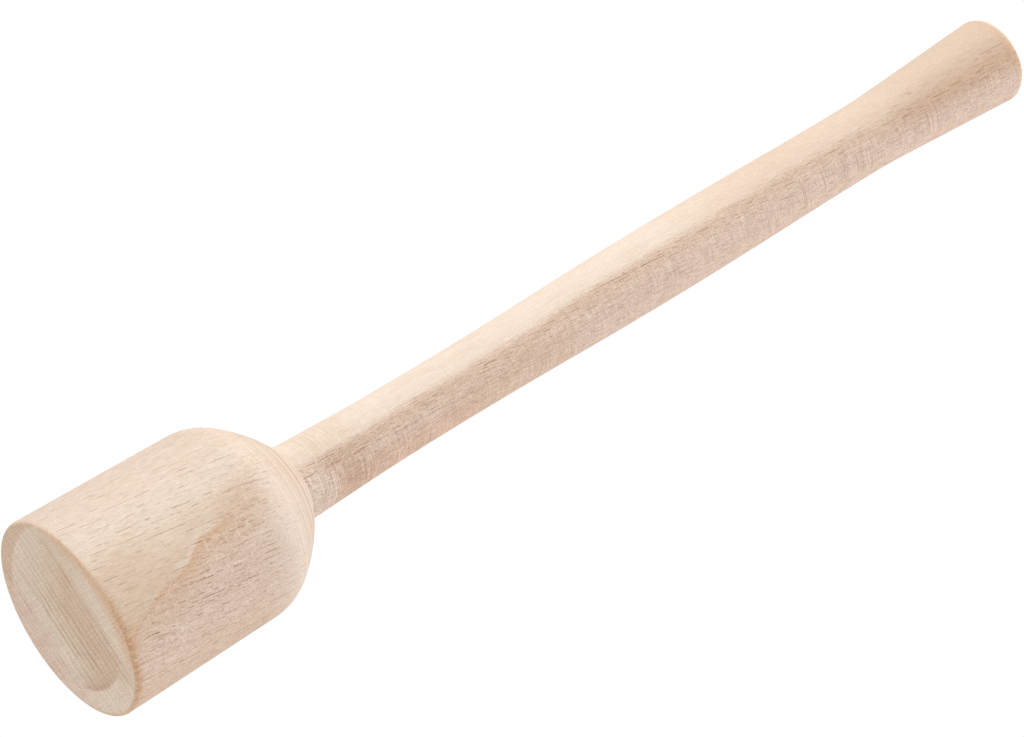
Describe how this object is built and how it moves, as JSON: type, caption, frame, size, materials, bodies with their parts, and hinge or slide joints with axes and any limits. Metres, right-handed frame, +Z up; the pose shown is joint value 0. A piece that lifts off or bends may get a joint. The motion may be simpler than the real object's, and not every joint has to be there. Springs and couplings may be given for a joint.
{
  "type": "kraut stomper",
  "caption": "Turned beech kraut stomper: a heavy round head with a flat striking face and domed shoulder, glued on the tenon of a long waisted handle that flares at its end.",
  "frame": {"origin": "centre of the striking face, on the surface that the stomper stands on", "axes": "+Z up along the turning axis, from the striking face to the handle's end; X and Y are free because the shape is turned"},
  "size_m": [0.068, 0.068, 0.4],
  "materials": {
    "head_beech": "raw sanded steamed beech, matt, end grain on the striking face",
    "handle_beech": "raw sanded beech, matt, long grain",
    "wood_glue": "cured wood glue, translucent cream"
  },
  "bodies": {
    "root": {"stomper_head": "head_beech", "handle": "handle_beech", "glue_film": "wood_glue"}
  },
  "joints": []
}
